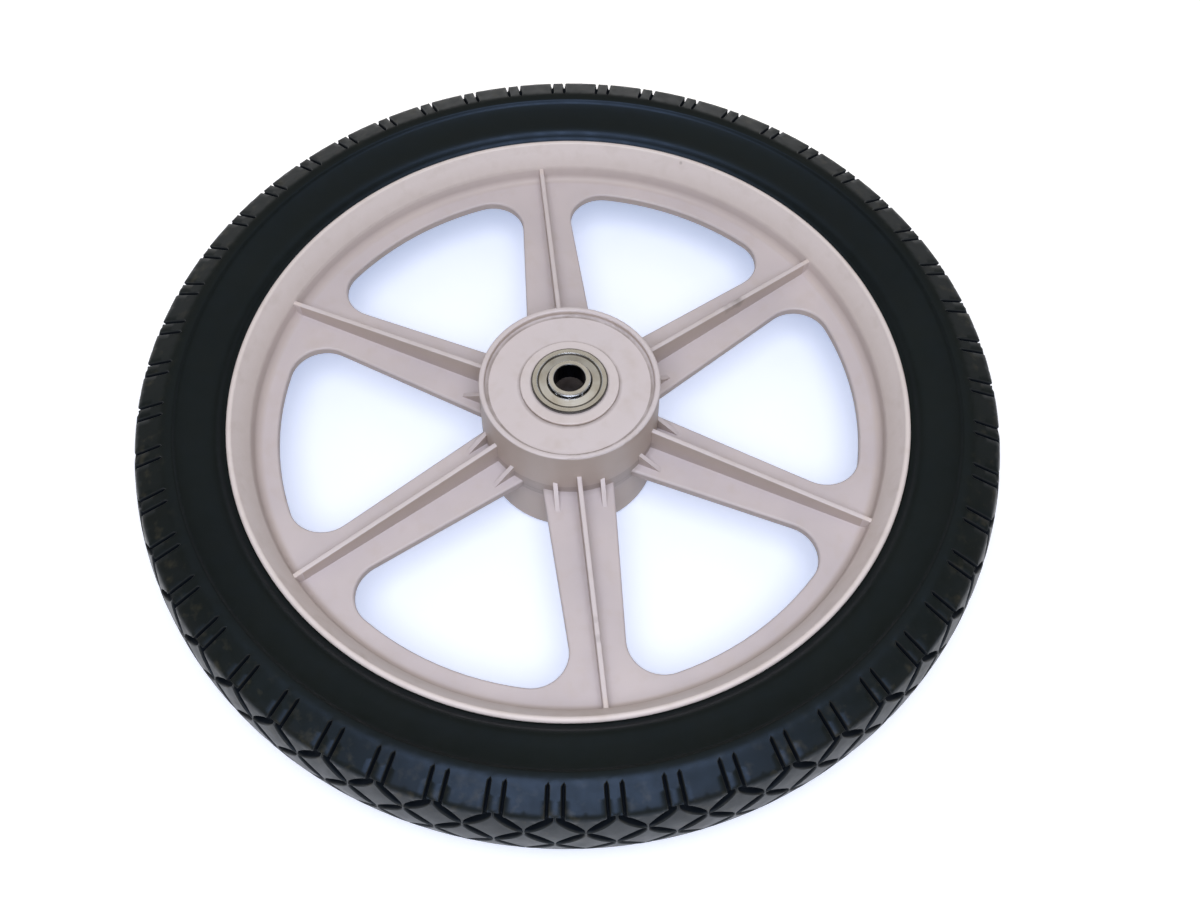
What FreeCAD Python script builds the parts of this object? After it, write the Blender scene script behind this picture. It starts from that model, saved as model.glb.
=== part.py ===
import FreeCAD, Part
import math
import os

# Lawn mower wheel: a spoked plastic moulding, a rubber tyre and two flanged ball bearings.
# Sizes are in millimetres. The origin is the middle of the hub, +Z is the wheel's axis
# and the side with the closed hub face is up.

# Tyre
tyre_radius = 177.8
tyre_width = 49.5
sidewall_height = 38.4
sidewall_foot_rise = 3.8
sidewall_foot_width = 40.4
sidewall_middle_rise = 12.1
sidewall_middle_width = 42.8
ridge_drop = 18.3
ridge_step = 1.2
ridge_step_run = 1.0
ridge_ring_width = 2.9
ridge_ring_fall = 0.1
crown_radius = 60.0
crown_half_width = 19.1
shoulder_edge = 1.1
bead_edge_rise = 0.5
bead_groove_width = 0.8
tyre_clearance = 0.1

# Tread
tread_pitches = 51
first_bar_angle = 2.05
bar_width = 5.9
bar_groove_width = 1.8
bar_groove_depth = 2.3
bar_groove_run_out = 0.6
bar_groove_reach = 1.1
diamond_height = 21.0
diamond_groove_width = 3.2
diamond_groove_depth = 2.2
diamond_groove_taper = 3.4
diamond_bridge = 0.9
groove_overrun = 1.3

# Rim and web
rim_width = 37.2
rim_wall = 2.6
channel_depth = 5.4
channel_width = 16.0
barrel_draft = 1.0
barrel_round = 4.0
web_thickness = 4.4
web_round = 3.0
web_ring_width = 9.0

# Spokes and openings
spoke_count = 6
first_spoke_angle = 37.8
spoke_hub_half_width = 14.5
spoke_rim_half_width = 10.15
opening_corner = 14.3
opening_edge_round = 1.0
rib_thickness = 2.0
rib_height_at_hub = 14.2
rib_height_at_rim = 8.5
rib_edge_round = 0.5
gusset_thickness = 1.8
gusset_offset = 9.6
gusset_height = 8.8
gusset_length = 9.8

# Hub
hub_radius = 36.8
hub_draft = 0.3
hub_length = 56.6
hub_wall = 3.2
hub_lip = 2.3
hub_recess = 2.9
hub_face_thickness = 3.5
hub_edge_round = 0.8
boss_radius = 20.1
boss_edge_round = 0.5
boss_bore_radius = 11.5
core_draft = 0.5
core_round = 1.5
core_rib_thickness = 2.4
core_rib_setback = 4.0

# Bearings
bearing_span = 60.325
bore_radius = 6.35
inner_ring_radius = 8.6
inner_ring_proud = 1.5875
outer_ring_radius = 14.2875
outer_ring_width = 7.9375
outer_ring_shoulder_radius = 12.05
flange_ring_radius = 15.5575
flange_thickness = 1.5875
ring_chamfer = 0.35
ball_count = 8
ball_radius = 2.38125
race_clearance = 0.04
shield_seat_radius = 13.0
shield_seat_depth = 1.0
shield_thickness = 0.4
shield_rise = 0.35
shield_gap = 0.45
shield_rim_width = 0.8
cage_thickness = 0.4
cage_band_width = 1.5
cage_clearance = 0.06
seat_clearance = 0.02

# Worked out from the sizes above
flange_radius = tyre_radius - sidewall_height
channel_radius = flange_radius - channel_depth
barrel_radius = channel_radius - rim_wall
opening_radius = barrel_radius - barrel_draft - web_ring_width
half_span = bearing_span / 2
flange_face = half_span - inner_ring_proud
boss_end = flange_face - flange_thickness
seat_floor = flange_face - outer_ring_width
bearing_middle = flange_face - outer_ring_width / 2
pitch_radius = (inner_ring_radius + outer_ring_shoulder_radius) / 2
half_web = web_thickness / 2
hub_wall_middle = hub_radius - hub_wall / 2

centre = FreeCAD.Vector(0, 0, 0)
axis = FreeCAD.Vector(0, 0, 1)
across = FreeCAD.Vector(1, 0, 0)
sideways = FreeCAD.Vector(0, 1, 0)
nothing = 1e-4


def at(radius, height):
    return FreeCAD.Vector(radius, 0, height)


def line(start, end):
    return Part.LineSegment(start, end).toShape()


def arc(start, middle, end):
    return Part.Arc(start, middle, end).toShape()


def chamfer(start, middle, end):
    return line(start, end)


def outline(corners, cut=arc):
    # Closed polygon in the section plane; each corner is (radius, height, rounding or chamfer).
    starts = []
    ends = []
    edges = []
    for index, (radius, height, rounding) in enumerate(corners):
        here = at(radius, height)
        before = at(*corners[index - 1][:2]) - here
        after = at(*corners[(index + 1) % len(corners)][:2]) - here
        before.normalize()
        after.normalize()
        half_angle = before.getAngle(after) / 2
        reach = rounding / math.tan(half_angle)
        starts.append(here + before * reach)
        ends.append(here + after * reach)
        if rounding:
            inward = before + after
            inward.normalize()
            depth = rounding / math.sin(half_angle) - rounding
            edges.append(cut(starts[-1], here + inward * depth, ends[-1]))
    for index, end in enumerate(ends):
        start = starts[(index + 1) % len(starts)]
        if end.distanceToPoint(start) > nothing:
            edges.append(line(end, start))
    return edges


def revolved(edges, angle=360.0):
    wire = Part.Wire(Part.__sortEdges__(edges))
    return Part.Face(wire).revolve(centre, axis, angle)


def mirrored(edges):
    return edges + [edge.mirror(centre, axis) for edge in edges]


def turned(shape, angle):
    copy = shape.copy()
    copy.rotate(centre, axis, angle)
    return copy


def around(shape, count, first=0.0):
    return [turned(shape, first + index * 360 / count) for index in range(count)]


def upright_plate(points, thickness, offset=0.0):
    # Flat plate whose outline lies in the XZ plane, centred at a distance along Y.
    corners = [FreeCAD.Vector(x, offset - thickness / 2, z) for x, z in points]
    face = Part.Face(Part.makePolygon(corners + corners[:1]))
    return face.extrude(sideways * thickness)


def free_edges_rounded(plate):
    # A plate that stands between two walls, with its free upper and lower edges rounded.
    found = []
    for edge in plate.Edges:
        start, end = [vertex.Point for vertex in edge.Vertexes]
        if abs(start.x - end.x) > nothing and abs(start.z) > half_web + nothing:
            found.append(edge)
    return plate.makeFillet(rib_edge_round, found)


def channel_points(clearance):
    # Floor corner, slope end and widest point of the channel, moved outward by a clearance.
    lip_radius = rim_wall / 2
    lip_r = flange_radius - lip_radius
    lip_z = rim_width / 2 - lip_radius
    rise_r = lip_r - channel_radius
    rise_z = lip_z - channel_width / 2
    slope = math.atan2(rise_z, rise_r) - math.asin(lip_radius / math.hypot(rise_r, rise_z))
    out_r = math.sin(slope)
    out_z = -math.cos(slope)
    touch = at(lip_r + out_r * (lip_radius + clearance), lip_z + out_z * (lip_radius + clearance))
    floor_r = channel_radius + clearance
    floor = at(floor_r, touch.z - (touch.x - floor_r) * math.tan(slope))
    bulge = (slope - math.pi / 2) / 2
    reach = lip_radius + clearance
    middle = at(lip_r + math.cos(bulge) * reach, lip_z + math.sin(bulge) * reach)
    widest = at(lip_r + reach, lip_z)
    return floor, touch, middle, widest


def rim_and_web():
    floor, touch = channel_points(0)[:2]
    inner_floor, inner_touch = channel_points(-rim_wall)[:2]
    lip_top = at(flange_radius - rim_wall / 2, rim_width / 2)
    half = outline([
        (hub_wall_middle, 0, 0),
        (hub_wall_middle, half_web, 0),
        (barrel_radius - barrel_draft, half_web, web_round),
        (barrel_radius, inner_floor.z, barrel_round),
        (inner_touch.x, inner_touch.z, 0),
        (touch.x, touch.z, 0),
        (floor.x, floor.z, 0),
        (channel_radius, 0, 0),
    ])
    lip_base = (touch + inner_touch) * 0.5
    profile = [arc(inner_touch, lip_top, touch)]
    for edge in half:
        middle = edge.valueAt((edge.FirstParameter + edge.LastParameter) / 2)
        if middle.z > nothing and middle.distanceToPoint(lip_base) > nothing:
            profile.append(edge)
    return revolved(mirrored(profile))


def spoke_opening():
    # Space between the spoke on +X and the next one: straight sides, round outer corners.
    step = math.radians(360 / spoke_count)
    taper = (spoke_hub_half_width - spoke_rim_half_width) / (opening_radius - hub_radius)
    lean = math.atan(taper)
    along = FreeCAD.Vector(math.cos(lean), -math.sin(lean), 0)
    off = FreeCAD.Vector(math.sin(lean), math.cos(lean), 0)
    side = off.dot(FreeCAD.Vector(hub_radius, spoke_hub_half_width, 0))
    corner_r = opening_radius - opening_corner
    reach = math.sqrt(corner_r ** 2 - (side + opening_corner) ** 2)
    corner = off * (side + opening_corner) + along * reach
    side_end = off * side + along * reach
    rim_start = corner * (opening_radius / corner_r)
    turn = side_end - corner + rim_start - corner
    turn.normalize()
    corner_middle = corner + turn * opening_corner
    side_start = off * side + along * math.sqrt(hub_wall_middle ** 2 - side ** 2)
    across_gap = FreeCAD.Vector(math.cos(step / 2), math.sin(step / 2), 0)
    flip = FreeCAD.Vector(-math.sin(step / 2), math.cos(step / 2), 0)
    edges = [line(side_start, side_end), arc(side_end, corner_middle, rim_start)]
    edges += [edge.mirror(centre, flip) for edge in edges]
    far_start = rim_start - flip * (2 * rim_start.dot(flip))
    near_start = side_start - flip * (2 * side_start.dot(flip))
    edges.append(arc(rim_start, across_gap * opening_radius, far_start))
    edges.append(arc(side_start, across_gap * hub_wall_middle, near_start))
    face = Part.Face(Part.Wire(Part.__sortEdges__(edges)))
    face.translate(FreeCAD.Vector(0, 0, -web_thickness))
    return face.extrude(FreeCAD.Vector(0, 0, 2 * web_thickness))


def opening_edges(shape):
    # Edges round the openings on the two flat sides of the web.
    found = []
    for edge in shape.Edges:
        ends = [vertex.Point for vertex in edge.Vertexes]
        flat = all(abs(abs(point.z) - half_web) < nothing for point in ends)
        middle = edge.valueAt((edge.FirstParameter + edge.LastParameter) / 2)
        reach = math.hypot(middle.x, middle.y)
        if flat and hub_radius < reach < opening_radius + opening_edge_round:
            found.append(edge)
    return found


def spoke_rib():
    foot = hub_wall_middle
    tip = channel_radius - rim_wall / 2
    run = barrel_radius - hub_radius
    slope = (rib_height_at_hub - rib_height_at_rim) / run
    high = rib_height_at_hub + slope * (hub_radius - foot)
    low = rib_height_at_hub - slope * (tip - hub_radius)
    points = [(foot, high), (tip, low), (tip, -low), (foot, -high)]
    return free_edges_rounded(upright_plate(points, rib_thickness))


def gusset(side):
    outer_face = gusset_offset + gusset_thickness / 2
    foot = math.sqrt(hub_wall_middle ** 2 - outer_face ** 2)
    wall = math.sqrt(hub_radius ** 2 - gusset_offset ** 2)
    slope = (gusset_height - half_web) / gusset_length
    high = gusset_height + slope * (wall - foot)
    tip = wall + gusset_length
    points = [(foot, high), (tip, half_web), (tip, -half_web), (foot, -high)]
    return upright_plate(points, gusset_thickness, side * gusset_offset)


def hub():
    # Closed at the front, cored out from the back round the boss that holds the bearings.
    lip_end = hub_length / 2
    face = lip_end - hub_recess
    core_end = face - hub_face_thickness
    seat_r = outer_ring_radius + seat_clearance
    shell = revolved(outline([
        (boss_bore_radius, seat_floor, 0),
        (seat_r, seat_floor, 0),
        (seat_r, boss_end, 0),
        (boss_radius, boss_end, boss_edge_round),
        (boss_radius, face, 0),
        (hub_radius - hub_lip, face, hub_edge_round),
        (hub_radius - hub_lip, lip_end, hub_edge_round),
        (hub_radius, lip_end, hub_edge_round),
        (hub_radius + hub_draft, 0, 0),
        (hub_radius, -lip_end, hub_edge_round),
        (hub_radius - hub_wall, -lip_end, hub_edge_round),
        (hub_radius - hub_wall - core_draft, core_end, core_round),
        (boss_radius + core_draft, core_end, core_round),
        (boss_radius, -boss_end, boss_edge_round),
        (seat_r, -boss_end, 0),
        (seat_r, -seat_floor, 0),
        (boss_bore_radius, -seat_floor, 0),
    ]))
    inner = (boss_bore_radius + boss_radius) / 2
    low = core_rib_setback - lip_end
    high = face - hub_face_thickness / 2
    corners = [(inner, low), (hub_wall_middle, low), (hub_wall_middle, high), (inner, high)]
    rib = upright_plate(corners, core_rib_thickness)
    return shell.fuse(around(rib, spoke_count, first_spoke_angle))


def wheel_moulding():
    disc = rim_and_web()
    gap = spoke_opening()
    disc = disc.cut(around(gap, spoke_count, first_spoke_angle))
    disc = disc.makeFillet(opening_edge_round, opening_edges(disc))
    pieces = [hub()]
    for plate in (spoke_rib(), gusset(1), gusset(-1)):
        pieces += around(plate, spoke_count, first_spoke_angle)
    return disc.fuse(pieces).removeSplitter()


def crown_point(height):
    reach = math.sqrt(crown_radius ** 2 - height ** 2)
    return at(tyre_radius - crown_radius + reach, height)


def tyre_corners():
    # Half of the outside, from the bead over the sidewall, ridge and flat shoulder to the crown.
    widest = channel_points(tyre_clearance)[3]
    bead = at(widest.x, rim_width / 2)
    foot = at(flange_radius + sidewall_foot_rise, sidewall_foot_width / 2)
    ridge = at(tyre_radius - ridge_drop, tyre_width / 2)
    crown_end = crown_point(crown_half_width)
    return [
        bead,
        at(foot.x - bead_groove_width, bead.z + bead_edge_rise),
        foot,
        at(flange_radius + sidewall_middle_rise, sidewall_middle_width / 2),
        ridge - at(ridge_step_run, ridge_step),
        ridge,
        ridge + at(ridge_ring_width, -ridge_ring_fall),
        crown_end + at(-shoulder_edge, shoulder_edge),
        crown_end,
        crown_point(diamond_height / 2),
        crown_point(0),
    ]


def tyre_section():
    # Straight runs between the rows of the tread, and the seat that fits the rim's channel.
    floor, touch, bulge, widest = channel_points(tyre_clearance)
    corners = tyre_corners()
    half = [line(floor, touch), arc(touch, bulge, widest), line(widest, corners[0])]
    half += [line(start, end) for start, end in zip(corners, corners[1:])]
    return mirrored(half) + [line(floor, at(floor.x, -floor.z))]


def bar_groove():
    # Slot of even depth along the flat shoulder, in the XZ plane, that opens at the crown.
    start, end = tyre_corners()[6:8]
    along = end - start
    along.normalize()
    out = at(-along.z, along.x)
    inner = start + along * bar_groove_run_out
    mouth = crown_point(crown_half_width - bar_groove_reach)
    corners = [
        inner + out * groove_overrun,
        inner,
        inner + along * bar_groove_run_out - out * bar_groove_depth,
        end - out * bar_groove_depth,
        mouth,
        mouth + across * groove_overrun,
        end + (along + out) * groove_overrun,
    ]
    return upright_plate([(corner.x, corner.z) for corner in corners], bar_groove_width)


def diamond_groove(row):
    # Flat-floored pocket along one side of a diamond, which narrows to a point at each corner.
    pitch = 2 * math.pi / tread_pitches
    low = crown_point(row * diamond_height / 2)
    high = crown_point((row + 1) * diamond_height / 2)
    rise = high - low
    normal = at(rise.z, -rise.x)
    normal.normalize()
    floor = (low + high) * 0.5 - normal * diamond_groove_depth
    slant = sideways * (floor.x * pitch / 2) + rise * (1 if row % 2 else -1)
    half_length = slant.Length / 2 - diamond_bridge
    slant.normalize()
    broad = normal.cross(slant) * (diamond_groove_width / 2)
    tip = slant * half_length
    flank = slant * (half_length - diamond_groove_taper)
    ways = [tip, flank + broad, broad - flank, -tip, -flank - broad, flank - broad]
    corners = [floor + way for way in ways]
    face = Part.Face(Part.makePolygon(corners + corners[:1]))
    pocket = face.extrude(normal * (diamond_groove_depth + groove_overrun))
    return turned(pocket, math.degrees(pitch) / 4)


def tread_cuts():
    # Every groove of one pitch; a bar is centred on each end of it.
    pitch = 360 / tread_pitches
    bar_angle = math.degrees(bar_width / tyre_radius) / 2
    cuts = [turned(bar_groove(), angle) for angle in (bar_angle, pitch - bar_angle)]
    for row in (0, 1):
        pocket = diamond_groove(row)
        cuts += [pocket, turned(pocket.mirror(centre, sideways), pitch)]
    return cuts + [cut.mirror(centre, axis) for cut in cuts]


def tyre():
    # One pitch of the tyre with its grooves, repeated round the wheel and sewn up.
    pitch = 360 / tread_pitches
    block = revolved(tyre_section(), pitch).cut(tread_cuts())
    far_normal = FreeCAD.Vector(-math.sin(math.radians(pitch)), math.cos(math.radians(pitch)), 0)
    skin = []
    for face in block.Faces:
        points = [vertex.Point for vertex in face.Vertexes]
        near_end = all(abs(point.y) < nothing for point in points)
        far_end = all(abs(point.dot(far_normal)) < nothing for point in points)
        if not near_end and not far_end:
            skin.append(face)
    ring = Part.makeCompound(around(Part.makeCompound(skin), tread_pitches, first_bar_angle))
    ring.sewShape()
    return Part.makeSolid(ring.Shells[0]).removeSplitter()


def raceway():
    return Part.makeTorus(pitch_radius, ball_radius + race_clearance)


def outer_ring():
    half = outer_ring_width / 2
    step = half - shield_seat_depth
    ring = revolved(outline([
        (outer_ring_shoulder_radius, -step, 0),
        (shield_seat_radius, -step, 0),
        (shield_seat_radius, -half, 0),
        (outer_ring_radius, -half, ring_chamfer),
        (outer_ring_radius, half - flange_thickness, 0),
        (flange_ring_radius, half - flange_thickness, ring_chamfer),
        (flange_ring_radius, half, ring_chamfer),
        (shield_seat_radius, half, ring_chamfer),
        (shield_seat_radius, step, 0),
        (outer_ring_shoulder_radius, step, 0),
    ], chamfer))
    return ring.cut(raceway())


def inner_ring():
    half = outer_ring_width / 2
    ring = revolved(outline([
        (bore_radius, -half, ring_chamfer),
        (inner_ring_radius, -half, ring_chamfer),
        (inner_ring_radius, half + inner_ring_proud, ring_chamfer),
        (bore_radius, half + inner_ring_proud, ring_chamfer),
    ], chamfer))
    return ring.cut(raceway())


def shield():
    # Pressed dish: a flat rim on the outer ring's step and a cone that rises to the inner ring.
    low = outer_ring_width / 2 - shield_seat_depth
    rim_r = shield_seat_radius - seat_clearance
    bend_r = rim_r - shield_rim_width
    edge_r = inner_ring_radius + shield_gap
    high = low + shield_rise
    return revolved(outline([
        (rim_r, low, 0),
        (rim_r, low + shield_thickness, 0),
        (bend_r, low + shield_thickness, 0),
        (edge_r, high + shield_thickness, 0),
        (edge_r, high, 0),
        (bend_r, low, 0),
    ]))


def ball(index):
    return turned(Part.makeSphere(ball_radius, at(pitch_radius, 0)), index * 360 / ball_count)


def cage():
    # Two pressed ribbons, flat between the balls and dished round each of them.
    inner = pitch_radius - cage_band_width / 2
    outer = pitch_radius + cage_band_width / 2
    pocket_r = ball_radius + cage_clearance
    dish = Part.makeSphere(pocket_r + cage_thickness, at(pitch_radius, 0), across)
    pocket = Part.makeSphere(pocket_r, at(pitch_radius, 0), across)
    tall = pocket_r + 2 * cage_thickness
    band = outline([(inner, -tall, 0), (outer, -tall, 0), (outer, tall, 0), (inner, tall, 0)])
    flat = outline([
        (inner, -cage_thickness, 0),
        (outer, -cage_thickness, 0),
        (outer, cage_thickness, 0),
        (inner, cage_thickness, 0),
    ])
    dishes = [shape.common(revolved(band)) for shape in around(dish, ball_count)]
    return revolved(flat).fuse(dishes).cut(around(pocket, ball_count)).removeSplitter()


def inner_shield():
    return shield().mirror(centre, axis)


def placed(shape, end):
    # A bearing piece, modelled about its own middle, moved to the front or turned to the back.
    copy = shape.copy()
    copy.translate(FreeCAD.Vector(0, 0, bearing_middle))
    if end == "back":
        copy.rotate(centre, across, 180)
    return copy


pieces = {"wheel_moulding": wheel_moulding(), "tyre": tyre()}
for end in ("front", "back"):
    pieces[end + "_outer_ring"] = placed(outer_ring(), end)
    pieces[end + "_inner_ring"] = placed(inner_ring(), end)
    pieces[end + "_outer_shield"] = placed(shield(), end)
    pieces[end + "_inner_shield"] = placed(inner_shield(), end)
    pieces[end + "_ball_cage"] = placed(cage(), end)
    for index in range(ball_count):
        pieces[end + "_ball_" + str(index + 1)] = placed(ball(index), end)

os.makedirs("parts", exist_ok=True)
for name, shape in pieces.items():
    shape.exportStep("parts/" + name + ".step")
    print(name, "solids", len(shape.Solids), "valid", shape.isValid(), "volume", round(shape.Volume, 1))
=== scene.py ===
import math

import bmesh
import bpy
from mathutils import Matrix, Vector
from mathutils.geometry import delaunay_2d_cdt


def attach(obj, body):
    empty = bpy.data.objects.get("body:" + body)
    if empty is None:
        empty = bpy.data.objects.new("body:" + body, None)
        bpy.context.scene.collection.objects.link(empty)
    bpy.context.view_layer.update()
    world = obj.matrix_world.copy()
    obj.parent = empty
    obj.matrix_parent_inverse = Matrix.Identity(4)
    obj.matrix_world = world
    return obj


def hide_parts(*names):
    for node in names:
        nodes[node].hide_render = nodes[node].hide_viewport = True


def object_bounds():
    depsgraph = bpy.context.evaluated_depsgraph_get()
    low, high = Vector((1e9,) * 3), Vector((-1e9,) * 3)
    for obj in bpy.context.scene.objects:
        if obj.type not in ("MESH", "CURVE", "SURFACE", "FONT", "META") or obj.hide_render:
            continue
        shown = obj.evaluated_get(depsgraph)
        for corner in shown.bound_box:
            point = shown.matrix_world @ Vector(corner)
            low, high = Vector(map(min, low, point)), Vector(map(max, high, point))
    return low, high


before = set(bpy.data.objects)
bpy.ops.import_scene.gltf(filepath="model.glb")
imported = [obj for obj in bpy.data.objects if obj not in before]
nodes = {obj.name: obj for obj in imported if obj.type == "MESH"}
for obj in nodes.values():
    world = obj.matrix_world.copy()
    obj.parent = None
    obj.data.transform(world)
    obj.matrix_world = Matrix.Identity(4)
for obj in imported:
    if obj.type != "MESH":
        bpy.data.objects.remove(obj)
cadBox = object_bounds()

mm = 0.001
print("frame loaded with", len(nodes), "CAD nodes")


def hexColour(code):
    channels = [int(code[i:i + 2], 16) / 255 for i in (1, 3, 5)]
    linear = [c / 12.92 if c <= 0.04045 else ((c + 0.055) / 1.055) ** 2.4 for c in channels]
    return (*linear, 1.0)


def perMm(size):
    return 1 / (size * mm)  # texture scale that gives a pattern of this size


def addNode(tree, kind, inputs=None, **settings):
    node = tree.nodes.new(kind)
    for name, value in settings.items():
        setattr(node, name, value)
    for socket, value in (inputs or {}).items():
        if isinstance(value, bpy.types.NodeSocket):
            tree.links.new(value, node.inputs[socket])
        else:
            node.inputs[socket].default_value = value
    return node


def newMaterial(name):
    material = bpy.data.materials.new(name)
    material.use_nodes = True
    material.node_tree.nodes.clear()
    tree = material.node_tree
    place = addNode(tree, "ShaderNodeTexCoord").outputs["Object"]
    return material, tree, place


def fromAxle(tree, place):
    # distance from the axle, and height above the middle of the wheel
    where = addNode(tree, "ShaderNodeSeparateXYZ", {0: place}).outputs
    flatPlace = addNode(tree, "ShaderNodeCombineXYZ", {"X": where["X"], "Y": where["Y"]})
    radius = addNode(tree, "ShaderNodeVectorMath", {0: flatPlace.outputs[0]}, operation="LENGTH")
    return radius.outputs["Value"], where["Z"]


def finishMaterial(tree, shader):
    addNode(tree, "ShaderNodeOutputMaterial", {"Surface": shader.outputs[0]})


# camera: the photograph looks down on the wheel from the front
view = {
    "place": (13.0, -293.5, 475.1),   # mm, in the wheel's frame
    "ahead": (0.0, 0.5054, -0.8629),
    "roll": 1.54,                     # degrees
    "focal": 39.7, "sensor": 36,      # mm
    "nearest": 10,                    # mm, what is closer to the lens isn't drawn
}
ahead = Vector(view["ahead"]).normalized()
flatRight = Vector((1, 0, 0))
flatUp = flatRight.cross(ahead)
roll = math.radians(view["roll"])
right = math.cos(roll) * flatRight + math.sin(roll) * flatUp
up = math.cos(roll) * flatUp - math.sin(roll) * flatRight
lens = bpy.data.cameras.new("photoCamera")
lens.sensor_width = view["sensor"]
lens.lens = view["focal"]
lens.clip_start = view["nearest"] * mm
camera = bpy.data.objects.new("photoCamera", lens)
camera.matrix_world = Matrix((
    (right.x, up.x, -ahead.x, view["place"][0] * mm),
    (right.y, up.y, -ahead.y, view["place"][1] * mm),
    (right.z, up.z, -ahead.z, view["place"][2] * mm),
    (0, 0, 0, 1),
))
bpy.context.scene.collection.objects.link(camera)
bpy.context.scene.camera = camera
print("camera set")

# light: one wide soft lamp above the camera, and a pale room that is brightest overhead
light = {
    "key": 7.3, "keySize": 760, "keyPlace": (10, -420, 880),   # watts and mm
    "keyColour": "#eef3ff",
    "ceiling": 0.62, "walls": 0.04, "roomColour": "#fff2da",
    "brightFrom": 0.35,   # where the room starts to brighten, from 0 at the horizon to 1 overhead
}
lamp = bpy.data.lights.new("softLamp", "AREA")
lamp.shape = "DISK"
lamp.size = light["keySize"] * mm
lamp.energy = light["key"]
lamp.color = hexColour(light["keyColour"])[:3]
softLamp = bpy.data.objects.new("softLamp", lamp)
softLamp.location = Vector(light["keyPlace"]) * mm
softLamp.rotation_euler = softLamp.location.to_track_quat("Z", "Y").to_euler()
bpy.context.scene.collection.objects.link(softLamp)

room = bpy.data.worlds.new("paleRoom")
room.use_nodes = True
tree = room.node_tree
tree.nodes.clear()
where = addNode(tree, "ShaderNodeSeparateXYZ", {0: addNode(tree, "ShaderNodeTexCoord").outputs["Generated"]})
level = addNode(tree, "ShaderNodeMapRange", {
    "Value": where.outputs["Z"], "From Min": light["brightFrom"], "From Max": 1.0,
    "To Min": light["walls"], "To Max": light["ceiling"]}, interpolation_type="SMOOTHSTEP")
air = addNode(tree, "ShaderNodeBackground", {
    "Color": hexColour(light["roomColour"]), "Strength": level.outputs[0]})
addNode(tree, "ShaderNodeOutputWorld", {"Surface": air.outputs[0]})
bpy.context.scene.world = room
bpy.context.scene.view_settings.view_transform = "Standard"

# floor: a sheet of white card that sweeps up all round, well clear of the wheel
cardSizes = {
    "flat": 2600, "sweep": 500, "wall": 900, "bends": 10, "steps": 72, "weld": 0.01,
    "blueTo": 140, "whiteFrom": 230,                   # mm from the axle
    "glow": 0.60, "farGlow": 0.95, "farFrom": 700,
    "dimFrom": 1200, "dimTo": 2400, "dimShare": 0.3,   # out of sight, so that the tyre mirrors less of it
}
bends = [math.radians(90 * k / cardSizes["bends"]) for k in range(cardSizes["bends"] + 1)]
sweep = [(0, 0)]
for a in bends:
    sweep.append((cardSizes["flat"] + cardSizes["sweep"] * math.sin(a), cardSizes["sweep"] * (1 - math.cos(a))))
sweep.append((cardSizes["flat"] + cardSizes["sweep"], cardSizes["sweep"] + cardSizes["wall"]))
sheet = bmesh.new()
line = [sheet.verts.new((r * mm, 0, cadBox[0][2] + h * mm)) for r, h in sweep]
edges = [sheet.edges.new(pair) for pair in zip(line, line[1:])]
bmesh.ops.spin(sheet, geom=line + edges, cent=(0, 0, 0), axis=(0, 0, 1), angle=math.tau,
               steps=cardSizes["steps"])
bmesh.ops.remove_doubles(sheet, verts=sheet.verts, dist=cardSizes["weld"] * mm)
bmesh.ops.recalc_face_normals(sheet, faces=sheet.faces)
floorMesh = bpy.data.meshes.new("floor")
sheet.to_mesh(floorMesh)
sheet.free()
floorMesh.shade_smooth()
floor = bpy.data.objects.new("floor", floorMesh)
bpy.context.scene.collection.objects.link(floor)
# white card: matt, and to the eye it glows a little, so that it is white and its shadows stay faint and blue
card, tree, place = newMaterial("whiteCard")
rays = addNode(tree, "ShaderNodeLightPath").outputs
seen = addNode(tree, "ShaderNodeMath", {0: rays["Is Camera Ray"], 1: rays["Is Glossy Ray"]}, operation="MAXIMUM")
seen = addNode(tree, "ShaderNodeMath", {0: seen.outputs[0], 1: rays["Is Transmission Ray"]}, operation="MAXIMUM")
away = addNode(tree, "ShaderNodeVectorMath", {0: place}, operation="LENGTH").outputs["Value"]
outside = addNode(tree, "ShaderNodeMapRange", {
    "Value": away, "From Min": cardSizes["blueTo"] * mm, "From Max": cardSizes["whiteFrom"] * mm})
tint = addNode(tree, "ShaderNodeMix", {0: outside.outputs[0], 6: hexColour("#c6d8ff"), 7: hexColour("#ffffff")},
               data_type="RGBA")
glowing = addNode(tree, "ShaderNodeMapRange", {
    "Value": away, "From Min": cardSizes["blueTo"] * mm, "From Max": cardSizes["farFrom"] * mm,
    "To Min": cardSizes["glow"], "To Max": cardSizes["farGlow"]})
dim = addNode(tree, "ShaderNodeMapRange", {
    "Value": away, "From Min": cardSizes["dimFrom"] * mm, "From Max": cardSizes["dimTo"] * mm,
    "To Min": 1.0, "To Max": cardSizes["dimShare"]})
glowing = addNode(tree, "ShaderNodeMath", {0: glowing.outputs[0], 1: dim.outputs[0]}, operation="MULTIPLY")
level = addNode(tree, "ShaderNodeMath", {0: seen.outputs[0], 1: glowing.outputs[0]}, operation="MULTIPLY")
glow = addNode(tree, "ShaderNodeEmission", {"Color": tint.outputs[2], "Strength": level.outputs[0]})
matt = addNode(tree, "ShaderNodeBsdfDiffuse", {"Color": hexColour("#e2e2e2")})
finishMaterial(tree, addNode(tree, "ShaderNodeAddShader", {0: matt.outputs[0], 1: glow.outputs[0]}))
floorMesh.materials.append(card)
print("light and floor set")

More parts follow.
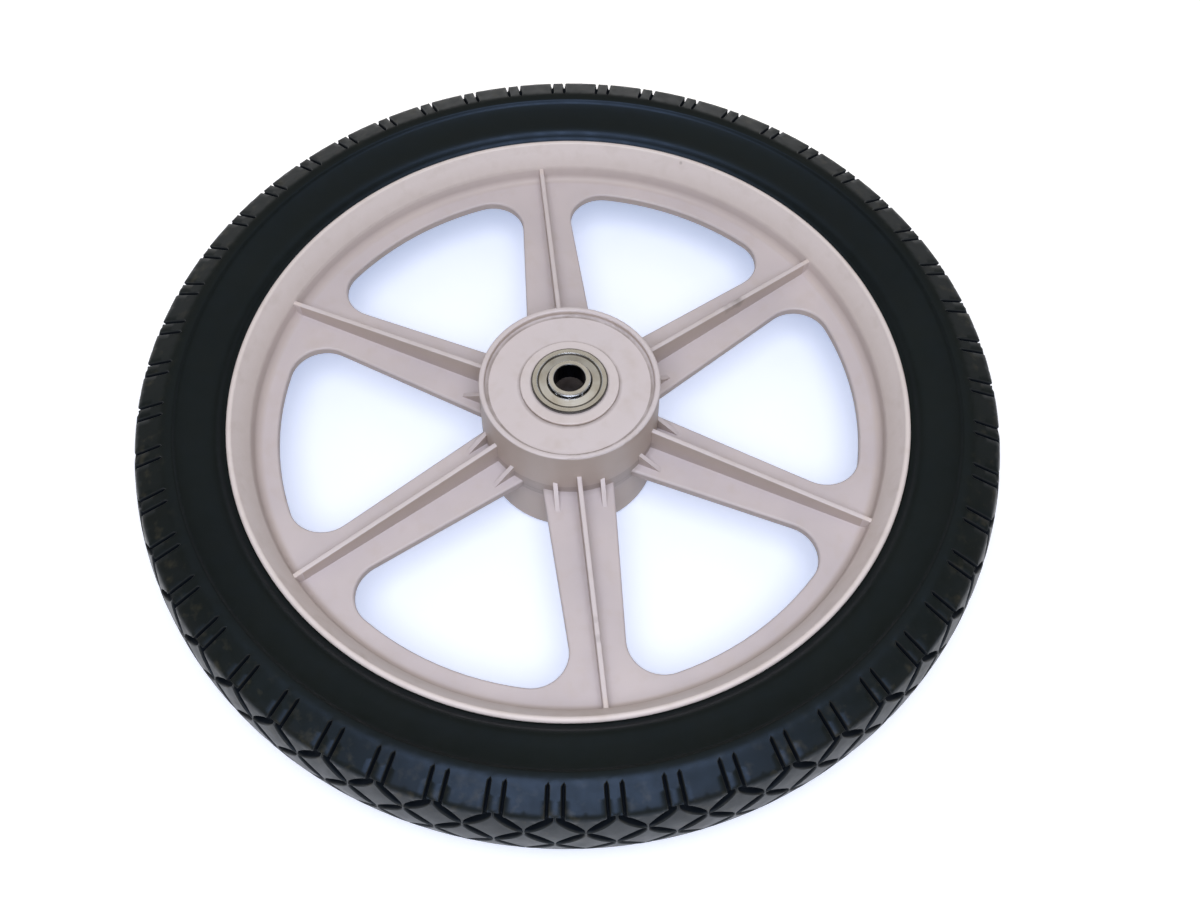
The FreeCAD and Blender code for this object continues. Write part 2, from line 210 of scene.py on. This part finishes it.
# polypropylene, injection moulded in a blasted tool: satin, a little cloudy, with soil and painted shade in the
# corners and painted shade on the upright walls, paler on the lip
plasticSizes = {
    "cloud": 38, "blotch": 7, "streak": 3, "grain": 0.7, "grainDepth": 0.1,
    "wallFrom": 127, "wallTo": 129,                      # mm from the axle, where the web meets the rim
    "wallFoot": 5, "wallLip": 18, "wallRagged": 6,       # heights on the rim's inner wall
    "collar": 20.2, "web": 128, "hub": 38,               # radii
    "filmFrom": 2, "filmTo": 9,                          # heights
    "seam": 0.22, "cornerSpread": 0.6,
}
# soil and painted shade in the corners: round the hub's foot, inside its lip, round the collar and the bearing; deep
# in the bore it is painted shade
cornerSoilAndShade = [   # radius from and to, height from and to, and how strong it is
    (37.0, 39.6, -3.0, 6.0, 0.5), (33.5, 34.9, 24.5, 26.6, 1.0), (20.1, 21.6, 24.0, 26.2, 1.0),
    (15.4, 16.4, 20.0, 31.0, 0.8), (9.0, 30.0, -22.0, 20.5, 1.5),
]
# dirt that stuck to it: radius, angle and height of the mark, its size and how strong it is
marks = [
    (130.6, -36.9, 6.0, 1.3, 0.9), (120.3, -34.3, 1.6, 1.2, 0.7), (121.0, -36.4, 1.6, 0.8, 0.5),
    (125.0, 156.3, 5.0, 1.6, 0.8), (90.0, 37.9, 10.2, 4.0, 0.45), (84.0, 37.9, 10.4, 3.0, 0.3),
    (136.7, 70.0, 17.0, 1.0, 0.4), (97.2, -82.2, 9.5, 2.2, 0.25), (104.5, -82.2, 9.0, 2.4, 0.3),
]
plastic, tree, place = newMaterial("mouldedPolypropylene")
cloud, blotch, ragged, grain = [
    addNode(tree, "ShaderNodeTexNoise", {
        "Vector": place, "Scale": perMm(plasticSizes[size]), "Detail": detail}).outputs["Fac"]
    for size, detail in (("cloud", 3.0), ("blotch", 4.0), ("streak", 4.0), ("grain", 2.0))]
radius, z = fromAxle(tree, place)
height = addNode(tree, "ShaderNodeMath", {0: z}, operation="ABSOLUTE").outputs[0]
tint = addNode(tree, "ShaderNodeMix", {0: cloud, 6: hexColour("#d6ccce"), 7: hexColour("#d7d1d8")},
               data_type="RGBA")
# the rim's inner wall is drawn darker at its foot and paler at its lip, with a ragged line between
wall = addNode(tree, "ShaderNodeMapRange", {
    "Value": radius, "From Min": plasticSizes["wallFrom"] * mm, "From Max": plasticSizes["wallTo"] * mm})
rise = addNode(tree, "ShaderNodeMath", {0: blotch, 1: plasticSizes["wallRagged"] * mm, 2: height},
               operation="MULTIPLY_ADD")
rise = addNode(tree, "ShaderNodeMapRange", {
    "Value": rise.outputs[0], "From Min": plasticSizes["wallFoot"] * mm, "From Max": plasticSizes["wallLip"] * mm})
wallTint = addNode(tree, "ShaderNodeMix", {0: rise.outputs[0], 6: hexColour("#cbbfbb"), 7: hexColour("#e4dbdc")},
                   data_type="RGBA")
tint = addNode(tree, "ShaderNodeMix", {0: wall.outputs[0], 6: tint.outputs[2], 7: wallTint.outputs[2]},
               data_type="RGBA")
coatsAndShade = []   # dirt and painted shade laid over the plastic, from below: where it is, how strong it is and its colour
# the plastic inside the collar round the bearing is drawn paler than the rest
collar = addNode(tree, "ShaderNodeMath", {0: radius, 1: plasticSizes["collar"] * mm}, operation="LESS_THAN")
coatsAndShade.append((collar.outputs[0], 0.25, "#e6dcda"))
# painted shade: the upright walls inside the rim are drawn darker and browner than the flat faces
facing = addNode(tree, "ShaderNodeSeparateXYZ", {0: addNode(tree, "ShaderNodeTexCoord").outputs["Normal"]})
shadedUpright = addNode(tree, "ShaderNodeMath", {0: facing.outputs["Z"]}, operation="ABSOLUTE")
shadedUpright = addNode(tree, "ShaderNodeMapRange", {"Value": shadedUpright.outputs[0], "From Min": 0.5, "From Max": 0.1})
inRim = addNode(tree, "ShaderNodeMath", {0: radius, 1: plasticSizes["web"] * mm}, operation="LESS_THAN")
shadedUpright = addNode(tree, "ShaderNodeMath", {0: shadedUpright.outputs[0], 1: inRim.outputs[0]}, operation="MULTIPLY")
coatsAndShade.append((shadedUpright.outputs[0], 0.65, "#b9a899"))
# the flat web is drawn greyer and darker than the hub's face and the lip
webGrey = addNode(tree, "ShaderNodeMapRange", {
    "Value": height, "From Min": plasticSizes["filmTo"] * mm, "From Max": plasticSizes["filmFrom"] * mm})
webGrey = addNode(tree, "ShaderNodeMath", {0: webGrey.outputs[0], 1: cloud}, operation="MULTIPLY")
coatsAndShade.append((webGrey.outputs[0], 0.75, "#b2a9b0"))
soil = addNode(tree, "ShaderNodeMapRange", {"Value": blotch, "From Min": 0.5, "From Max": 0.8})
coatsAndShade.append((soil.outputs[0], 0.3, "#bfb2aa"))
# the tool's two halves meet half way up the hub and leave a fine line, drawn a little wider than it is
seam = addNode(tree, "ShaderNodeMath", {0: height, 1: plasticSizes["seam"] * mm}, operation="LESS_THAN")
onHub = addNode(tree, "ShaderNodeMath", {0: radius, 1: plasticSizes["hub"] * mm}, operation="LESS_THAN")
seam = addNode(tree, "ShaderNodeMath", {0: seam.outputs[0], 1: onHub.outputs[0]}, operation="MULTIPLY")
coatsAndShade.append((seam.outputs[0], 0.5, "#a4968f"))
# soil and painted shade darken each corner, and deep in the bore there is only painted shade
for low, high, above, below, strength in cornerSoilAndShade:
    inner = addNode(tree, "ShaderNodeMapRange", {"Value": radius, "From Min": high * mm, "From Max": low * mm})
    beyond = addNode(tree, "ShaderNodeMath", {0: radius, 1: (low - plasticSizes["cornerSpread"]) * mm},
                     operation="GREATER_THAN")
    over = addNode(tree, "ShaderNodeMath", {0: z, 1: above * mm}, operation="GREATER_THAN")
    under = addNode(tree, "ShaderNodeMath", {0: z, 1: below * mm}, operation="LESS_THAN")
    share = inner.outputs[0]
    for limit in (beyond.outputs[0], over.outputs[0], under.outputs[0], blotch):
        share = addNode(tree, "ShaderNodeMath", {0: share, 1: limit}, operation="MULTIPLY").outputs[0]
    coatsAndShade.append((share, strength, "#6f625a"))
for markRadius, angle, markHeight, size, strength in marks:
    turn = math.radians(angle)
    spot = Vector((markRadius * math.cos(turn), markRadius * math.sin(turn), markHeight)) * mm
    gap = addNode(tree, "ShaderNodeVectorMath", {0: place, 1: spot}, operation="DISTANCE")
    reach = addNode(tree, "ShaderNodeMath", {0: ragged, 1: 2 * size * mm}, operation="MULTIPLY")
    share = addNode(tree, "ShaderNodeMapRange", {
        "Value": gap.outputs["Value"], "From Min": reach.outputs[0], "From Max": 0.2 * size * mm})
    coatsAndShade.append((share.outputs[0], strength, "#4a3f3a"))
for share, strength, colour in coatsAndShade:
    share = addNode(tree, "ShaderNodeMath", {0: share, 1: strength}, operation="MULTIPLY")
    tint = addNode(tree, "ShaderNodeMix", {0: share.outputs[0], 6: tint.outputs[2], 7: hexColour(colour)},
                   data_type="RGBA")
gloss = addNode(tree, "ShaderNodeMapRange", {"Value": blotch, "To Min": 0.40, "To Max": 0.56})
bump = addNode(tree, "ShaderNodeBump", {
    "Height": grain, "Strength": 0.12, "Distance": plasticSizes["grainDepth"] * mm})
shader = addNode(tree, "ShaderNodeBsdfPrincipled", {
    "Base Color": tint.outputs[2], "Roughness": gloss.outputs[0], "Normal": bump.outputs[0], "IOR": 1.49})
finishMaterial(tree, shader)

# rubber filled with carbon black, moulded: near black with a dull blue sheen, a grey bloom and dust on the tread
rubberSizes = {
    "bloom": 45, "mottle": 6, "dust": 14, "speck": 5, "grain": 0.6, "grainDepth": 0.1,
    "crownFrom": 170, "crownTo": 175, "blocksFrom": 160, "blocksTo": 170,   # mm from the axle
}
rubber, tree, place = newMaterial("mouldedRubber")
bloom, mottle, dust, speck, grain = [
    addNode(tree, "ShaderNodeTexNoise", {
        "Vector": place, "Scale": perMm(rubberSizes[size]), "Detail": detail, "Roughness": rough}).outputs["Fac"]
    for size, detail, rough in (("bloom", 3.0, 0.5), ("mottle", 5.0, 0.5), ("dust", 6.0, 0.65),
                                ("speck", 3.0, 0.5), ("grain", 2.0, 0.5))]
radius, z = fromAxle(tree, place)
tint = addNode(tree, "ShaderNodeMix", {0: bloom, 6: hexColour("#0d100c"), 7: hexColour("#151914")},
               data_type="RGBA")
# the tread rolls on the ground, so it is dusty from the edge of the crown outwards
crown = addNode(tree, "ShaderNodeMapRange", {
    "Value": radius, "From Min": rubberSizes["crownFrom"] * mm, "From Max": rubberSizes["crownTo"] * mm,
    "To Min": 0.06, "To Max": 0.30})
patch = addNode(tree, "ShaderNodeMapRange", {"Value": dust, "From Min": 0.35, "From Max": 0.7})
dusty = addNode(tree, "ShaderNodeMath", {0: crown.outputs[0], 1: patch.outputs[0]}, operation="MULTIPLY")
# dry soil stuck to the outer blocks in specks
speck = addNode(tree, "ShaderNodeMapRange", {"Value": speck, "From Min": 0.56, "From Max": 0.72})
outer = addNode(tree, "ShaderNodeMapRange", {
    "Value": radius, "From Min": rubberSizes["blocksFrom"] * mm, "From Max": rubberSizes["blocksTo"] * mm})
specks = addNode(tree, "ShaderNodeMath", {0: speck.outputs[0], 1: outer.outputs[0]}, operation="MULTIPLY")
# the blocks' edges are worn grey, and the grooves between them are painted near black as painted shade, darkest at
# their floors
edge = addNode(tree, "ShaderNodeAttribute", attribute_name="edge")
groove = addNode(tree, "ShaderNodeAttribute", attribute_name="groove")
groove = addNode(tree, "ShaderNodeMapRange", {"Value": groove.outputs["Fac"], "From Min": 0.05, "From Max": 0.4})
coatsAndShade = [
    (dusty.outputs[0], 1.0, "#2c271d"), (specks.outputs[0], 0.25, "#55503f"),
    # worn edges, then painted shade that darkens the grooves
    (edge.outputs["Fac"], 0.35, "#43423f"), (groove.outputs[0], 1.0, "#050605"),
]
for share, strength, colour in coatsAndShade:
    share = addNode(tree, "ShaderNodeMath", {0: share, 1: strength}, operation="MULTIPLY")
    tint = addNode(tree, "ShaderNodeMix", {0: share.outputs[0], 6: tint.outputs[2], 7: hexColour(colour)},
                   data_type="RGBA")
gloss = addNode(tree, "ShaderNodeMapRange", {
    "Value": mottle, "From Min": 0.3, "From Max": 0.7, "To Min": 0.33, "To Max": 0.46})
gloss = addNode(tree, "ShaderNodeMix", {0: dusty.outputs[0], 2: gloss.outputs[0], 3: 0.62})
gloss = addNode(tree, "ShaderNodeMix", {0: groove.outputs[0], 2: gloss.outputs[0], 3: 0.9})
bump = addNode(tree, "ShaderNodeBump", {
    "Height": grain, "Strength": 0.15, "Distance": rubberSizes["grainDepth"] * mm})
shader = addNode(tree, "ShaderNodeBsdfPrincipled", {
    "Base Color": tint.outputs[2], "Roughness": gloss.outputs[0], "Normal": bump.outputs[0], "IOR": 1.42,
    "Specular Tint": hexColour("#a9c7f6")})
finishMaterial(tree, shader)

# bearing steels: turned rings with faint lathe rings and a patchy film of oil, pressed sheet, and ground balls
steelKinds = {
    "turnedBearingSteel": {"dark": "#e2e5ea", "pale": "#f2f6ff", "rough": (0.20, 0.30), "rings": 0.4, "stain": 5},
    "pressedZincSheet": {"dark": "#d2d2d2", "pale": "#eef3fc", "rough": (0.22, 0.36), "rings": 0.4, "stain": 9},
    "groundBallSteel": {"dark": "#bdbdbb", "pale": "#dededc", "rough": (0.08, 0.14), "rings": 0.0, "stain": 3},
}
steelSizes = {
    "seats": [(15.3, 0.3), (12.7, 0.35), (9.0, 0.35)],   # radius of each dark ring and half its width
    "flat": (14.25, 0.75),                               # "flat": (14.25, 0.75), # the same for the flange's flat, which is drawn a little darker
    "boreFrom": 6.4, "boreTo": 6.7,
    "lathe": 3, "latheDepth": 0.02,                      # real lathe rings are too fine to show
}
steels = {}
for name, kind in steelKinds.items():
    steel, tree, place = newMaterial(name)
    stain = addNode(tree, "ShaderNodeTexNoise", {
        "Vector": place, "Scale": perMm(kind["stain"]), "Detail": 4.0}).outputs["Fac"]
    patch = addNode(tree, "ShaderNodeMapRange", {"Value": stain, "From Min": 0.35, "From Max": 0.62})
    tint = addNode(tree, "ShaderNodeMix", {
        0: patch.outputs[0], 6: hexColour(kind["dark"]), 7: hexColour(kind["pale"])}, data_type="RGBA")
    radius, z = fromAxle(tree, place)
    coatsAndShade = []
    # oil and dust, with painted shade, darken the gaps where two pieces meet, and the flange's flat is drawn a
    # little darker between its bright edges
    rings = [(seat, 0.85, "#37302a") for seat in steelSizes["seats"]] + [(steelSizes["flat"], 0.12, "#7d7464")]
    for (middle, half), strength, colour in rings:
        share = addNode(tree, "ShaderNodeMath", {0: radius, 1: middle * mm, 2: half * mm}, operation="COMPARE")
        coatsAndShade.append((share.outputs[0], strength, colour))
    # painted shade: the bore is drawn near black with a blue tint
    bore = addNode(tree, "ShaderNodeMapRange", {
        "Value": radius, "From Min": steelSizes["boreTo"] * mm, "From Max": steelSizes["boreFrom"] * mm})
    coatsAndShade.append((bore.outputs[0], 0.95, "#272c38"))
    for share, strength, colour in coatsAndShade:
        share = addNode(tree, "ShaderNodeMath", {0: share, 1: strength}, operation="MULTIPLY")
        tint = addNode(tree, "ShaderNodeMix", {0: share.outputs[0], 6: tint.outputs[2], 7: hexColour(colour)},
                       data_type="RGBA")
    gloss = addNode(tree, "ShaderNodeMapRange", {
        "Value": stain, "To Min": kind["rough"][0], "To Max": kind["rough"][1]})
    lathe = addNode(tree, "ShaderNodeTexWave", {
        "Vector": place, "Scale": perMm(steelSizes["lathe"]), "Distortion": 0.6, "Detail": 2.0},
        wave_type="RINGS", rings_direction="Z")
    bump = addNode(tree, "ShaderNodeBump", {
        "Height": lathe.outputs["Fac"], "Strength": kind["rings"], "Distance": steelSizes["latheDepth"] * mm})
    shader = addNode(tree, "ShaderNodeBsdfPrincipled", {
        "Base Color": tint.outputs[2], "Roughness": gloss.outputs[0], "Metallic": 1.0, "Normal": bump.outputs[0]})
    finishMaterial(tree, shader)
    steels[name] = steel
turnedSteel, sheetSteel, ballSteel = steels.values()

finishes = {
    "wheel_moulding": plastic, "tyre": rubber, "outer_ring": turnedSteel, "inner_ring": turnedSteel,
    "outer_shield": sheetSteel, "inner_shield": sheetSteel, "ball_cage": sheetSteel, "ball": ballSteel,
}
for name, node in nodes.items():
    plain = name.replace("front_", "").replace("back_", "")
    key = plain if plain in finishes else "ball"   # the balls are numbered
    node.data.materials.clear()
    node.data.materials.append(finishes[key])
print("finishes given to the CAD nodes")

# tyre: one pitch of the tread is drawn flat, bent on to the tyre's section and repeated round the wheel
tyreSizes = {
    "radius": 177.8,
    "pitches": 51, "firstBar": 2.05,                    # degrees
    "barSpacing": 5.9, "barGroove": 1.5, "barDepth": 2.3, "barFrom": 18.2, "barTo": 32.6, "barEnd": 0.35,
    "diamondRise": 10.5, "diamondGroove": 3.9, "diamondDepth": 2.4, "diamondEnd": 0.42, "bridge": 0.45,
    "treadTo": 36.0,                                    # mm along the section from the middle of the crown
    "across": 6, "along": 14,                           # points on the border of a pitch
    "fillAcross": 7, "fillAlong": 26, "fillGap": 0.7,   # points between the grooves
    "grooveStep": 1.4, "narrowest": 0.12, "turnStep": 1.1, "wornDepth": 0.3,
    "sharp": 38, "weld": 0.01,                          # degrees, mm
}
# the section from the crown out to the ridge: its direction from and to, in degrees, and the radius that it turns
# on, or where the two are the same, the length of a straight
treadRuns = [(0, 18.6, 60.0), (18.6, 68, 1.8), (68, 68, 11.0), (68, 96, 5.2), (96, 96, 6.0)]
# outlines of a groove from its edge to its floor: how far outside the edge, and share of the depth
grooveOutlines = [(0.28, 0.0), (0.0, 0.09), (-0.3, 0.55), (-0.55, 1.0)]
# sidewall, bead and seat from the ridge inwards: radius and height
sidewall = [
    (159.2, 24.5), (158.75, 24.2), (158.45, 23.6), (157.4, 23.0), (154.5, 22.15), (151.5, 21.4), (148.5, 20.9),
    (145.8, 20.6), (144.3, 20.3), (143.3, 19.8), (142.5, 19.2), (141.9, 18.4), (141.3, 17.7), (140.7, 17.3),
    (140.2, 17.05), (139.9, 16.9), (139.5, 16.6), (138.3, 16.0), (134.25, 12.1), (134.2, 6.0), (134.2, 0),
]


def tyreSection(along):
    # point of the section and its outward direction, this far along from the middle of the crown
    side = 1 if along >= 0 else -1
    left = abs(along)
    r, z, a = tyreSizes["radius"], 0.0, 0.0
    for start, end, size in treadRuns:
        a0, a1 = math.radians(start), math.radians(end)
        run = size * (a1 - a0) if end > start else size
        share = min(1, left / run)
        if end > start:
            a = a0 + (a1 - a0) * share
            r += size * (math.cos(a) - math.cos(a0))
            z += size * (math.sin(a) - math.sin(a0))
        else:
            a = a0
            r -= math.sin(a) * run * share
            z += math.cos(a) * run * share
        left -= run
        if left <= 0:
            break
    return (r, side * z), (math.cos(a), side * math.sin(a))


def grooveLoops(middle, ahead, half, wide, depth, pointed):
    # nested outlines of one groove, each with its depth
    s = tyreSizes
    loops = []
    aside = (-ahead[1], ahead[0])
    for grow, share in grooveOutlines:
        reach, breadth = half + grow, max(wide / 2 + grow, s["narrowest"])
        count = max(8, round(reach * 2 / s["grooveStep"]))
        ring = []
        for way in (1, -1):
            for k in range(count):
                t = -1 + 2 * k / count
                if pointed:
                    w = breadth * (1 - t * t) ** s["diamondEnd"]
                else:
                    w = breadth * min(1, (1 - abs(t)) * reach / breadth + s["barEnd"])
                x = middle[0] + way * (ahead[0] * reach * t + aside[0] * w)
                y = middle[1] + way * (ahead[1] * reach * t + aside[1] * w)
                ring.append((x, y))
        loops.append((ring, depth * share))
    return loops


def insideLoop(point, ring, slack=1e-4):
    x, y = point
    inside = False
    for (x0, y0), (x1, y1) in zip(ring, ring[1:] + ring[:1]):
        if (y0 > y) != (y1 > y) and x < (x1 - x0) * (y - y0) / (y1 - y0) + x0:
            inside = not inside
        run = (x1 - x0) ** 2 + (y1 - y0) ** 2
        t = max(0, min(1, ((x - x0) * (x1 - x0) + (y - y0) * (y1 - y0)) / run)) if run else 0
        if (x - x0 - t * (x1 - x0)) ** 2 + (y - y0 - t * (y1 - y0)) ** 2 < slack ** 2:
            return True
    return inside


def treadGrooves(pitch):
    s = tyreSizes
    grooves = []
    for side in (1, -1):
        for way in (1, -1):
            middle = (way * s["barSpacing"] / 2, side * (s["barFrom"] + s["barTo"]) / 2)
            half = (s["barTo"] - s["barFrom"]) / 2
            grooves.append(grooveLoops(middle, (0, 1), half, s["barGroove"], s["barDepth"], False))
            for row in (0, 1):
                start = (0, side * 2 * row * s["diamondRise"])
                end = (way * pitch / 2, side * s["diamondRise"])
                run = (end[0] - start[0], end[1] - start[1])
                length = math.hypot(*run)
                middle = ((start[0] + end[0]) / 2, (start[1] + end[1]) / 2)
                ahead = (run[0] / length, run[1] / length)
                grooves.append(grooveLoops(middle, ahead, length / 2 - s["bridge"], s["diamondGroove"],
                                           s["diamondDepth"], True))
    return grooves


def flatPitch(grooves, pitch, columns):
    # the pitch as a flat net of faces that keeps every outline
    s = tyreSizes
    points, lines = [], []

    def addRing(ring):
        first = len(points)
        points.extend(Vector(p) for p in ring)
        lines.extend((first + k, first + (k + 1) % len(ring)) for k in range(len(ring)))

    rows = [s["treadTo"] * k / s["along"] for k in range(-s["along"], s["along"] + 1)]
    border = [(x, -s["treadTo"]) for x in columns] + [(pitch / 2, y) for y in rows[1:]]
    border += [(x, s["treadTo"]) for x in reversed(columns[:-1])]
    border += [(-pitch / 2, y) for y in reversed(rows[1:-1])]
    addRing(border)
    for groove in grooves:
        for ring, _ in groove:
            addRing(ring)
    fine = [s["treadTo"] * k / s["fillAlong"] for k in range(1 - s["fillAlong"], s["fillAlong"])]
    for x in [-pitch / 2 + pitch * (k + 0.5) / s["fillAcross"] for k in range(s["fillAcross"])]:
        for y in fine:
            if all(not insideLoop((x, y), groove[0][0], s["fillGap"]) for groove in grooves):
                points.append(Vector((x, y)))
    flat, _, faces = delaunay_2d_cdt(points, lines, [], 0, 1e-4)[:3]
    return flat, faces


def drawPitch():
    s = tyreSizes
    pitch = math.tau * s["radius"] / s["pitches"]
    columns = [-pitch / 2 + pitch * k / s["across"] for k in range(s["across"] + 1)]
    grooves = treadGrooves(pitch)
    flat, faces = flatPitch(grooves, pitch, columns)
    shape = bmesh.new()
    floorShare = shape.verts.layers.float.new("groove")
    edgeShare = shape.verts.layers.float.new("edge")
    skin = []
    for x, y in flat:
        depth = 0.0
        for groove in grooves:
            for ring, down in groove:
                if insideLoop((x, y), ring):
                    depth = max(depth, down)
                else:
                    break
        r, z = tyreSection(y)[0]
        ways = [tyreSection(y + k * s["turnStep"])[1] for k in range(-2, 3)]  # grooves turn the edge gently
        outR, outZ = Vector([sum(way) for way in zip(*ways)]).normalized()
        r, z = r - outR * depth, z - outZ * depth
        turn = x / s["radius"]
        vert = shape.verts.new((r * mm * math.cos(turn), r * mm * math.sin(turn), z * mm))
        vert[floorShare] = min(1, depth / s["diamondDepth"])
        vert[edgeShare] = 1.0 if 0 < depth < s["wornDepth"] else 0.0
        skin.append(vert)
    for face in faces:
        shape.faces.new([skin[k] for k in face])
    turns = [x / s["radius"] for x in columns]
    treadEnd = tyreSection(s["treadTo"])[0]
    for side in (1, -1):
        before = None
        for r, z in [treadEnd] + sidewall:
            ring = [shape.verts.new((r * mm * math.cos(t), r * mm * math.sin(t), side * z * mm)) for t in turns]
            if before:
                for k in range(len(turns) - 1):
                    shape.faces.new((before[k], before[k + 1], ring[k + 1], ring[k]))
            before = ring
    bmesh.ops.remove_doubles(shape, verts=shape.verts, dist=s["weld"] * mm)
    return shape


pitchShape = drawPitch()
print("one pitch of the tread has", len(pitchShape.faces), "faces")
pitchMesh = bpy.data.meshes.new("treadPitch")
pitchShape.to_mesh(pitchMesh)
pitchShape.free()
tyreObject = bpy.data.objects.new("treadedTyre", pitchMesh)
bpy.context.scene.collection.objects.link(tyreObject)

# the pitch is repeated by a node tree
repeat = bpy.data.node_groups.new("repeatRoundAxle", "GeometryNodeTree")
sockets = {}
for name, kind in (("Geometry", "NodeSocketGeometry"), ("Pitches", "NodeSocketInt"),
                   ("First bar", "NodeSocketFloat"), ("Weld", "NodeSocketFloat"), ("Rubber", "NodeSocketMaterial")):
    sockets[name] = repeat.interface.new_socket(name, in_out="INPUT", socket_type=kind).identifier
repeat.interface.new_socket("Geometry", in_out="OUTPUT", socket_type="NodeSocketGeometry")
given = addNode(repeat, "NodeGroupInput").outputs
places = addNode(repeat, "GeometryNodePoints", {"Count": given["Pitches"]})
number = addNode(repeat, "GeometryNodeInputIndex")
step = addNode(repeat, "ShaderNodeMath", {0: math.tau, 1: given["Pitches"]}, operation="DIVIDE")
angle = addNode(repeat, "ShaderNodeMath", {0: number.outputs[0], 1: step.outputs[0], 2: given["First bar"]},
                operation="MULTIPLY_ADD")
turned = addNode(repeat, "ShaderNodeCombineXYZ", {"Z": angle.outputs[0]})
copies = addNode(repeat, "GeometryNodeInstanceOnPoints", {
    "Points": places.outputs[0], "Instance": given["Geometry"], "Rotation": turned.outputs[0]})
solid = addNode(repeat, "GeometryNodeRealizeInstances", {"Geometry": copies.outputs[0]})
welded = addNode(repeat, "GeometryNodeMergeByDistance", {"Geometry": solid.outputs[0], "Distance": given["Weld"]})
coated = addNode(repeat, "GeometryNodeSetMaterial", {"Geometry": welded.outputs[0], "Material": given["Rubber"]})
addNode(repeat, "NodeGroupOutput", {"Geometry": coated.outputs[0]})
repeating = tyreObject.modifiers.new("repeatRoundAxle", "NODES")
repeating.node_group = repeat
repeating[sockets["Pitches"]] = tyreSizes["pitches"]
repeating[sockets["First bar"]] = math.radians(tyreSizes["firstBar"])
repeating[sockets["Weld"]] = tyreSizes["weld"] * mm
repeating[sockets["Rubber"]] = rubber
whole = bpy.data.meshes.new_from_object(tyreObject.evaluated_get(bpy.context.evaluated_depsgraph_get()))
tyreObject.modifiers.clear()
tyreShape = bmesh.new()
tyreShape.from_mesh(whole)
bmesh.ops.recalc_face_normals(tyreShape, faces=tyreShape.faces)
for edge in tyreShape.edges:
    edge.smooth = len(edge.link_faces) == 2 and edge.calc_face_angle(0) < math.radians(tyreSizes["sharp"])
for face in tyreShape.faces:
    face.smooth = True
openEdges = sum(len(edge.link_faces) != 2 for edge in tyreShape.edges)
tyreShape.to_mesh(whole)
tyreShape.free()
tyreObject.data = whole
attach(tyreObject, "wheel")
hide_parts("tyre")
print("tyre made:", len(whole.polygons), "faces,", openEdges, "open edges")

# rim lips: the rolled edge on each side of the rim, drawn round over the short facets of the moulding
lipSizes = {"radius": 138.1, "height": 17.3, "round": 1.33, "steps": 360, "across": 24}
lips = bmesh.new()
for side in (1, -1):
    rings = []
    for k in range(lipSizes["steps"]):
        turn = math.tau * k / lipSizes["steps"]
        ring = []
        for j in range(lipSizes["across"]):
            a = math.tau * j / lipSizes["across"]
            r = (lipSizes["radius"] + lipSizes["round"] * math.cos(a)) * mm
            z = side * (lipSizes["height"] + lipSizes["round"] * math.sin(a)) * mm
            ring.append(lips.verts.new((r * math.cos(turn), r * math.sin(turn), z)))
        rings.append(ring)
    for before, after in zip(rings, rings[1:] + rings[:1]):
        for j in range(lipSizes["across"]):
            lips.faces.new((before[j - 1], before[j], after[j], after[j - 1]))
bmesh.ops.recalc_face_normals(lips, faces=lips.faces)
lipMesh = bpy.data.meshes.new("rimLips")
lips.to_mesh(lipMesh)
lips.free()
lipMesh.shade_smooth()
lipMesh.materials.append(plastic)
lipObject = bpy.data.objects.new("rimLips", lipMesh)
bpy.context.scene.collection.objects.link(lipObject)
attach(lipObject, "wheel")
print("rim lips made")
